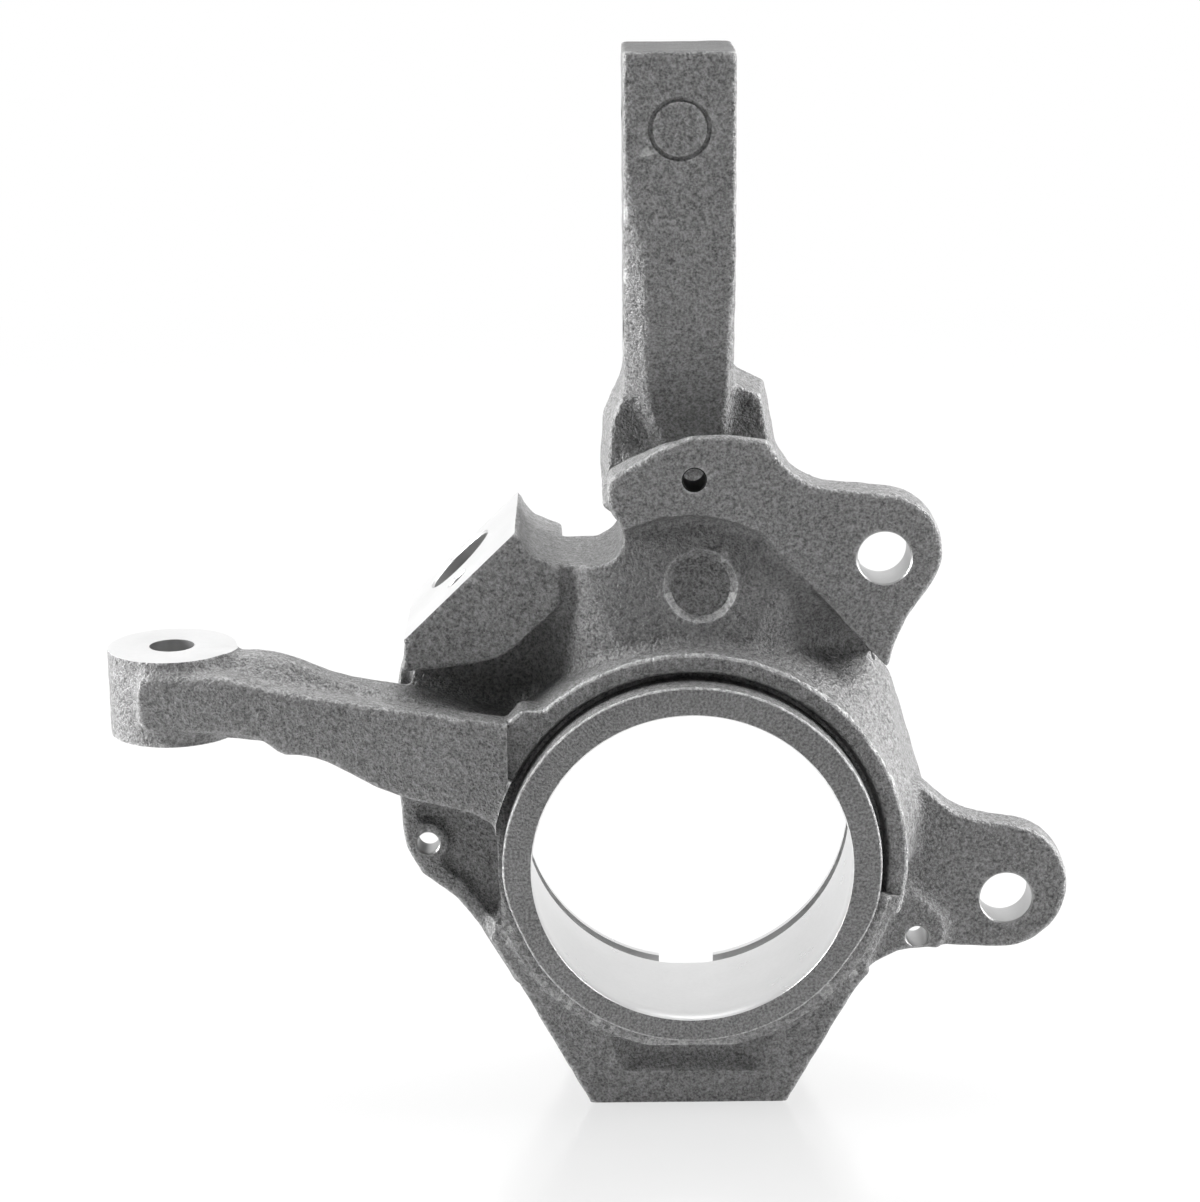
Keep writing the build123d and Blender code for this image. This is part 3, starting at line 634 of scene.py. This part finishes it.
def round_pad_corners(body):
    """Rounds the two corners of the steering arm's pad in front of its boss."""
    middle = PAD_END_X + PAD_CORNER_R
    for corner, way, turn in ((PAD_END_TOP, 1, 90), (PAD_END_BOTTOM, -1, 270)):
        arc_z = corner - PAD_CORNER_R * way
        outline = [(middle, corner + way), (PAD_END_X - 1, corner + way), (PAD_END_X - 1, arc_z)]
        outline += arc((middle, arc_z), PAD_CORNER_R, 180, turn, 9)
        cut(body, prism("pad_corner", outline, PAD_FRONT, PAD_BACK, (X_AXIS, Z_AXIS, Y_AXIS)))


def stock():
    """A copy of the solid's surface with all its machined places filled up."""
    body = bpy.data.objects.new("casting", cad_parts["knuckle"].data.copy())
    bpy.context.scene.collection.objects.link(body)
    body.data.materials.clear()
    tidy_normals(body)
    round_pad_corners(body)
    return joined("casting", [body] + fills())


def tool(finish, shape):
    """Gives a cutting shape the finish that it leaves."""
    shape.data.materials.append(finish)
    return shape


def arc(centre, radius, start, end, steps=5):
    """Points of a profile's rounded corner; angles from the first axis to the second."""
    turns = np.radians(np.linspace(start, end, steps))
    return [(centre[0] + radius * cos(t), centre[1] + radius * sin(t)) for t in turns]


def bore_tool():
    """Bearing seat, shoulder lip with its chamfer, snap ring groove and end land."""
    lip = [(-4, 0), (-4, LIP_R + 4.3), (0, LIP_R + 0.3), (0.4, LIP_R), (LIP_T, LIP_R)]
    seat = [(LIP_T, BEARING_R - 0.5), (LIP_T + 0.5, BEARING_R), (SEAT_END, BEARING_R)]
    snap = [(SEAT_END, SNAP_R), (SNAP_END, SNAP_R), (SNAP_END, BEARING_R)]
    past = BARREL_END + CLEAR
    end = [(BARREL_END - 1.0, BEARING_R), (past, BEARING_R + 4), (past, 0)]
    return lathe("bore_tool", lip + seat + snap + end, CENTRE, Y_AXIS, 256)


def eased(share):
    """From 0 to 1 with a smooth start and end."""
    share = float(np.clip(share, 0, 1))
    return share * share * (3 - 2 * share)


def ring_reach(angle):
    """Outer radius of the cast ring; beside the steering arm it widens to the pad's upper corner."""
    return RING_R + (FLARE_R - RING_R) * eased((angle - FLARE_FROM) / FLARE_OVER)


def front_profile(angle):
    """The hub's front at one angle: lip, groove or step, and cast ring, from the bore outwards.

    Points are (way, radius): 7 of the lip, 3 of the groove's or step's floor and 12 of the edge.
    From PAD_FROM on, the ring's face ends at the upright side of the steering arm's pad.
    """
    groove, ring = GROOVE_FROM <= angle <= GROOVE_TO, RING_FROM <= angle <= RING_TO
    lip_r, floor = GROOVE_IN, GROOVE_Y
    if groove:
        floor -= (GROOVE_Y - STEP_Y - 0.3) * eased((angle - RUN_OUT_FROM) / RUN_OUT_OVER)
    else:
        from_end = min(angle % 360 - GROOVE_TO, GROOVE_FROM + 360 - angle % 360)
        lip_r -= (GROOVE_IN - STEP_IN) * eased(from_end / DRAW_IN_OVER)
        floor = STEP_Y
    lip = [(FRONT, FRONT_TOOL_R), (0, FRONT_TOOL_R)]
    lip += arc((LIP_ROUND, lip_r - LIP_ROUND), LIP_ROUND, 180, 90)
    wall = [(floor, lip_r), (floor, lip_r + 0.8), (floor - 0.3 * groove, lip_r + 1.1)]
    slope = [(min(y, floor - 0.3), radius) for y, radius in GROOVE_SLOPE]
    if ring and angle > PAD_FROM:
        reach = PAD_SIDE_X / -cos(radians(angle))
        edge = [(y, min(radius, reach - 0.1)) for y, radius in slope] + [(RING_Y, reach - 0.05)]
        edge += [(y, reach + 0.02 * (RING_Y - y)) for y in np.linspace(RING_Y - 0.3, FRONT, 6)]
    elif ring:
        reach = ring_reach(angle)
        edge = slope + arc((RING_Y + RIM_ROUND, reach - RIM_ROUND), RIM_ROUND, 180, 125)
        edge += [(RING_Y + 1.4, reach + 0.8), (FRONT, reach + 2)]
    elif groove:
        edge = [(floor - 0.4, 45.9), (floor - 0.6, 46.3), (floor - 0.8, 46.6)]
        edge += [(y, GROOVE_OUT) for y in np.linspace(floor - 1, FRONT, 9)]
    else:
        edge = [(STEP_Y, STEP_R - 1.3)]
        edge += arc((STEP_Y + STEP_ROUND, STEP_R - STEP_ROUND), STEP_ROUND, 180, 90)
        edge += [(6, STEP_R), (7.2, STEP_R + 0.05), (STEP_FLOOR, STEP_R + 0.1)]
        edge += [(STEP_FLOOR, STEP_R + 4), (STEP_FLOOR, STEP_R + 9), (FRONT, STEP_R + 10)]
    return lip + wall + edge


def ring_stock(angle):
    """Section of the raw ring that front_tool trims."""
    outer = ring_reach(angle) - 0.3
    return [(RING_Y - 1, 42), (RING_Y - 1, outer), (14, outer), (14, 42)]


def round_hub(name, profile_at, angles, whole):
    """A solid round the hub whose section changes with the angle; its normals are still to be tidied.

    Row k, column j is (radius * cos t, way, radius * sin t) with t the angle from +X to +Z and
    (way, radius) point j of the section there. Face k * columns + j lies between columns j, j + 1.
    """
    sections = np.array([profile_at(angle) for angle in angles], float)
    way, radius, turn = sections[..., 0], sections[..., 1], np.radians(angles)[:, None]
    points = np.stack([radius * np.cos(turn), way, radius * np.sin(turn)], -1)
    rows, count = way.shape
    i, j = np.meshgrid(np.arange(rows if whole else rows - 1), np.arange(count), indexing="ij")
    faces = grid_faces(i, j, rows, count)
    if not whole:
        faces += [list(range(count)), [(rows - 1) * count + k for k in range(count)]]
    return mesh_object(name, points.reshape(-1, 3), faces)


def front_tool():
    """What stands in front of the hub, all the way round.

    Its section jumps from one form to the next within a fiftieth of a degree. Faces 0 and 1 of a
    section are the lip's front; its rounded edge and the rounded edge of ring or step get the
    brightened finish, rubbing with a painted highlight.
    """
    angles = np.arange(-20.0, 340.0, 1.25)
    for change in (GROOVE_FROM, GROOVE_TO, RING_FROM, RING_TO, PAD_FROM):
        angles = np.append(angles[abs(angles - change) > 0.4], (change - 0.01, change + 0.01))
    angles = np.sort(angles)
    made = round_hub("front_tool", front_profile, angles, True)
    for finish in (cast_iron, faced, rubbed_and_highlit):
        made.data.materials.append(finish)
    count = len(front_profile(0.0))
    row, column = np.divmod(np.arange(len(angles) * count), count)
    turn = angles[row]
    ring = (turn > RING_FROM) & (turn < RING_TO)
    outer = np.where(ring, (column > 14) & (column < 19), (column > 10) & (column < 15))
    outer &= (turn < PAD_FROM) | (turn > GROOVE_TO)
    # slot 2 brightens the rounded edges: painted highlight with some rubbing
    slots = np.select([column < 2, (column < 6) | outer], [1, 2], 0)
    made.data.polygons.foreach_set("material_index", slots.astype(np.int32))
    tidy_normals(made)
    return made


def hub_flat_tool():
    """Takes the lip ring's left side down to the flat beside the flange's pocket."""
    low, high = HUB_FLAT_LOW - 0.9, HUB_FLAT_HIGH + 0.8
    return block("hub_flat", (-60, -6, low), (-HUB_FLAT_X, GROOVE_Y + 0.4, high))


def foot_pocket_tool():
    """The foot's pocket: a flat roof close under the lip ring, and walls that lean in to a flat floor.

    Each layer is the mouth's outline drawn in by the layer's inset; point k of one layer joins
    point k of the next.
    """
    layers = []
    for y, inset in POCKET_LAYERS:
        roof, corner_z = POCKET_ROOF - 0.2 * inset, POCKET_LOW + inset + POCKET_CORNER_R
        line = [(POCKET_RIGHT - 1.1 * inset, roof), (POCKET_LEFT + 1.1 * inset, roof)]
        line += arc((POCKET_CORNER_LEFT + inset, corner_z), POCKET_CORNER_R, 180, 270)
        line += arc((POCKET_CORNER_RIGHT - inset, corner_z), POCKET_CORNER_R, 270, 360)
        layers += [(x, y, z) for x, z in line]
    count = len(line)
    k = np.arange(len(layers) - count)
    along = k - k % count + (k + 1) % count
    sides = np.stack([k, along, along + count, k + count], -1).tolist()
    made = mesh_object("foot_pocket", layers, sides + [range(count), range(len(k), len(layers))])
    tidy_normals(made)
    return made


def web_mark_tool():
    """A shallow dish with a flat floor, square to the web's slope; its lower wall gets a painted
    highlight, as lit from above.
    """
    floor, depth = WEB_MARK_R, WEB_MARK_DEPTH
    profile = [(CLEAR, 0), (CLEAR, floor + 5), (0, floor + 1.8)]
    profile += [(-depth * 0.7, floor + 0.6), (-depth, floor), (-depth, 0)]
    made = lathe("web_mark", profile, WEB_MARK, WEB_OUT, 96)
    made.data.materials.append(cast_iron)
    made.data.materials.append(rubbed_and_highlit)
    middles = np.empty(3 * len(made.data.polygons))
    made.data.polygons.foreach_get("center", middles)
    x, _, z = middles.reshape(-1, 3).T / MM
    off_floor = np.hypot(x - WEB_MARK[0], z - WEB_MARK[2]) > floor - 0.5
    # the lower wall is painted brighter: a painted highlight where light from above falls
    low_wall = off_floor & (z < WEB_MARK[2] - 1.5)
    made.data.polygons.foreach_set("material_index", low_wall.astype(np.int32))
    return made


def arm_mark_tool():
    """A fine ring, pressed into the strut arm's front."""
    depth, radius = ARM_MARK_DEPTH, ARM_MARK_R
    profile = [(depth, radius - 1.1), (-depth, radius - 0.2)]
    profile += [(-depth, radius + 0.2), (depth, radius + 1.1)]
    return lathe("arm_mark", profile, ARM_MARK, -Y_AXIS, 96)


def drills():
    """All round holes, most with a small chamfer at the mouth."""
    made = []
    # the top screw hole gets the near black finish: painted shade
    for finish, (x, z, front, depth) in zip((shaded_thread, drilled, drilled), SHIELD_HOLES):
        hole = rod("hole", (x, 0, z), -Y_AXIS, SHIELD_R, -front - depth, -front, SMALL_CHAMFER)
        made.append(tool(finish, hole))
    for x, z, front, depth in CALIPER_HOLES:
        low = -front - depth
        made.append(rod("hole", (x, 0, z), -Y_AXIS, CALIPER_R, low, -front, SMALL_CHAMFER))
    for z in STRUT_HOLES_Z:
        seat, low, high = (0, STRUT_HOLE_Y, z), STRUT_LEFT - CLEAR, STRUT_RIGHT + CLEAR
        made.append(rod("hole", seat, X_AXIS, STRUT_R, low, high))
    for y, radius, depth in SENSOR_HOLES:
        low, high = SENSOR_FACE - depth, SENSOR_FACE
        made.append(rod("hole", sensor_place(y), SENSOR_OUT, radius, low, high, CHAMFER))
    for x in FOOT_HOLES_X:
        seat, low = (x, FOOT_HOLE_Y, 0), -FOOT_Z - FOOT_HOLE_DEPTH
        made.append(rod("hole", seat, -Z_AXIS, FOOT_HOLE_R, low, -FOOT_Z, CHAMFER))
    taper = [(TIE_BOTTOM - 1, 0), (TIE_BOTTOM - 1, TIE_BIG_R + 0.6), (TIE_BOTTOM, TIE_BIG_R)]
    taper += [(TIE_TOP, TIE_SMALL_R), (TIE_TOP + 1, TIE_SMALL_R), (TIE_TOP + 1, 0)]
    made.append(lathe("hole", taper, (TIE_X, TIE_Y, 0), Z_AXIS, 64))
    return [hole if hole.data.materials else tool(drilled, hole) for hole in made]


def face_mills():
    """Flat cuts: the boss's two ends, the sensor face, the foot's underside and the ears' pads."""
    boss, boss_r = (TIE_X, TIE_Y, 0), TIE_R + 2.3
    ear_r, ear_end = CALIPER_PAD_R + 1.5, CALIPER_PAD_Y + 4
    made = [
        rod("mill", boss, Z_AXIS, boss_r, TIE_TOP, TIE_TOP + 5),
        rod("mill", boss, Z_AXIS, boss_r, TIE_BOTTOM - 5, TIE_BOTTOM),
        block("mill", (SENSOR_FACE, -16, 12), (SENSOR_FACE + 6, 29, 64), SENSOR_FRAME),
        block("mill", (-30, 2, FOOT_Z - 6), (30, 58, FOOT_Z)),
    ]
    for x, z, _, _ in CALIPER_HOLES:
        made.append(rod("mill", (x, 0, z), Y_AXIS, ear_r, CALIPER_PAD_Y, ear_end))
    return [tool(milled, face) for face in made]


def casting():
    """The raw casting from the filled solid, then everything that is machined or stamped.

    Moving the skin out and back by MOULD_FILLET leaves fillets on all inner corners.
    """
    body = stock()
    remesh(body, CLOSING_VOXEL)
    offset(body, MOULD_FILLET)
    remesh(body, CLOSING_VOXEL)
    offset(body, -MOULD_FILLET)
    remesh(body, VOXEL)
    with_modifier(body, "SMOOTH", factor=0.5, iterations=SOFTENING)
    uneven(body, UNEVEN)
    triangles = sum(len(p.vertices) - 2 for p in body.data.polygons)
    if triangles > CASTING_TRIANGLES:
        with_modifier(body, "DECIMATE", ratio=CASTING_TRIANGLES / triangles)
    body.data.materials.clear()
    body.data.materials.append(cast_iron)
    cut(body, joined("mills", face_mills()))
    cut(body, front_tool())
    for shape in (foot_pocket_tool(), hub_flat_tool()):
        cut(body, tool(cast_iron, shape))
    cut(body, web_mark_tool())
    cut(body, tool(cast_iron, arm_mark_tool()))
    cut(body, tool(turned, bore_tool()))
    notch_from, notch_to = (-NOTCH_W / 2, SEAT_END, -SNAP_R), (NOTCH_W / 2, BARREL_END + 2, -30)
    cut(body, tool(turned, block("notch", notch_from, notch_to)))
    cut(body, joined("drills", drills()))
    keep_within(body, cad_box)
    body.data.name = "casting"
    body.data.polygons.foreach_set("use_smooth", np.ones(len(body.data.polygons), dtype=bool))
    body.data.set_sharp_from_angle(angle=radians(CREASE_ANGLE))
    return body


body = casting()
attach(body, "root")
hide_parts("knuckle")


# Studio: a white tent that is open towards the camera. Places and sizes of lamps are in metres.

LAMPS = (
    ("lamp_top", (0.0, 0.35, 1.15), (1.5, 0.9), 15),
    ("lamp_left", (-1.2, 0.05, 0.3), (0.5, 1.2), 33),
    ("lamp_right", (1.2, 0.1, 0.4), (0.5, 1.2), 29),
    ("lamp_front", (-0.3, -1.6, 0.9), (1.2, 1.2), 0.5),
)
LAMPS_LOOK_AT = Vector((0, 0.03, 0.05))
WHITE = (1, 1, 1, 1)
FLOOR_X, FLOOR_FRONT, FLOOR_BACK = 3000, -1500, 4500
FLOOR_GREY, FLOOR_GLOW, GLOW_FROM, GLOW_TO = (0.65, 0.65, 0.65, 1), 0.82, 0.5, 1.2
CAMERA_PITCH, CAMERA_YAW, CAMERA_ROLL = radians(15.05), radians(0.23), radians(-0.45)
CAMERA_PLACE = (-23.618, -656.472, 241.433)
FILM_WIDTH, FOCAL_PIXELS, IMAGE_PIXELS = 36.0, 3000, 1200


def lamp(name, place, size, power):
    """A soft box that looks at the middle of the casting."""
    data = bpy.data.lights.new(name, "AREA")
    data.shape = "RECTANGLE"
    data.size, data.size_y = size
    data.energy = power
    made = bpy.data.objects.new(name, data)
    made.location = place
    look = LAMPS_LOOK_AT - Vector(place)
    made.rotation_euler = look.to_track_quat("-Z", "Y").to_euler()
    made.visible_camera = False
    bpy.context.scene.collection.objects.link(made)


def seen_directly(shop):
    """1 for what the camera sees itself or through glass, otherwise 0."""
    camera_ray = shop.node("ShaderNodeLightPath", {}, (), "Is Camera Ray")
    through = shop.node("ShaderNodeLightPath", {}, (), "Is Transmission Ray")
    return shop.node("ShaderNodeMath", {"operation": "MAXIMUM"}, (camera_ray, through))


def tent():
    """The world: white behind and beside the casting, dim on the camera's side."""
    world = bpy.data.worlds.new("tent")
    bpy.context.scene.world = world
    world.use_nodes = True
    shop = Shop(world.node_tree)
    way = shop.node("ShaderNodeTexCoord", {}, (), "Generated")
    depth = shop.node("ShaderNodeSeparateXYZ", {}, (way,), "Y")
    wall = shop.node(
        "ShaderNodeMapRange",
        {"interpolation_type": "SMOOTHSTEP"},
        {"Value": depth, "From Min": -0.65, "From Max": 0.2, "To Min": 0.04, "To Max": 1.0},
    )
    light = shop.node("ShaderNodeBackground", {}, {"Color": WHITE, "Strength": wall})
    paper = shop.node("ShaderNodeBackground", {}, {"Color": WHITE, "Strength": 1.0})
    shop.surface(shop.node("ShaderNodeMixShader", {}, (seen_directly(shop), light, paper)))


def lay_floor():
    """White acrylic that takes the shadow.

    The camera and reflections see it white, whiter with the distance from the casting, with the
    foot mirrored in it a little.
    """
    low, high = (-FLOOR_X, FLOOR_FRONT), (FLOOR_X, FLOOR_BACK)
    corners = [low, (high[0], low[1]), high, (low[0], high[1])]
    sheet = mesh_object("floor", [(x, y, FOOT_Z) for x, y in corners], [(0, 1, 2, 3)])
    acrylic = Finish("floor")
    sheet.data.materials.append(acrylic.material)
    acrylic.set(Base_Color=FLOOR_GREY, Roughness=0.6)
    plain = Socket(acrylic, acrylic.shader.outputs[0])
    way = acrylic.node("ShaderNodeVectorMath", {"operation": "LENGTH"}, (acrylic.place,), 1)
    spread = (way, GLOW_FROM, GLOW_TO, FLOOR_GLOW, 1.0)
    glowing = acrylic.node("ShaderNodeMapRange", {}, spread)
    glow = acrylic.node("ShaderNodeEmission", {}, {"Strength": 1.0})
    mirror = acrylic.node("ShaderNodeBsdfGlossy", {}, {"Color": WHITE, "Roughness": 0.2})
    glossy_ray = acrylic.node("ShaderNodeLightPath", {}, (), "Is Glossy Ray")
    white = acrylic.node("ShaderNodeMixShader", {}, (glowing, plain, glow))
    seen = acrylic.node("ShaderNodeMixShader", {}, ((1 - glowing) * 1.1, white, mirror))
    shows = (seen_directly(acrylic) + glossy_ray).clamped()
    acrylic.surface(acrylic.node("ShaderNodeMixShader", {}, (shows, plain, seen)))


def camera():
    """The photograph's viewpoint: a long lens, above the hub's axis and a little left of it."""
    pitch, yaw, roll = CAMERA_PITCH, CAMERA_YAW, CAMERA_ROLL
    ahead = Vector((sin(yaw) * cos(pitch), cos(yaw) * cos(pitch), -sin(pitch)))
    level = Vector((cos(yaw), -sin(yaw), 0))
    above = level.cross(ahead)
    right = cos(roll) * level + sin(roll) * above
    up = -sin(roll) * level + cos(roll) * above
    data = bpy.data.cameras.new("camera")
    data.sensor_fit = "HORIZONTAL"
    data.sensor_width = FILM_WIDTH
    data.lens = FILM_WIDTH * FOCAL_PIXELS / IMAGE_PIXELS
    data.clip_start = 0.05
    made = bpy.data.objects.new("camera", data)
    turn = Matrix((right, up, -ahead)).transposed().to_4x4()
    made.matrix_world = Matrix.Translation(Vector(CAMERA_PLACE) * MM) @ turn
    bpy.context.scene.collection.objects.link(made)
    bpy.context.scene.camera = made


tent()
lay_floor()
for setting in LAMPS:
    lamp(*setting)
camera()
bpy.context.scene.view_settings.view_transform = "Standard"
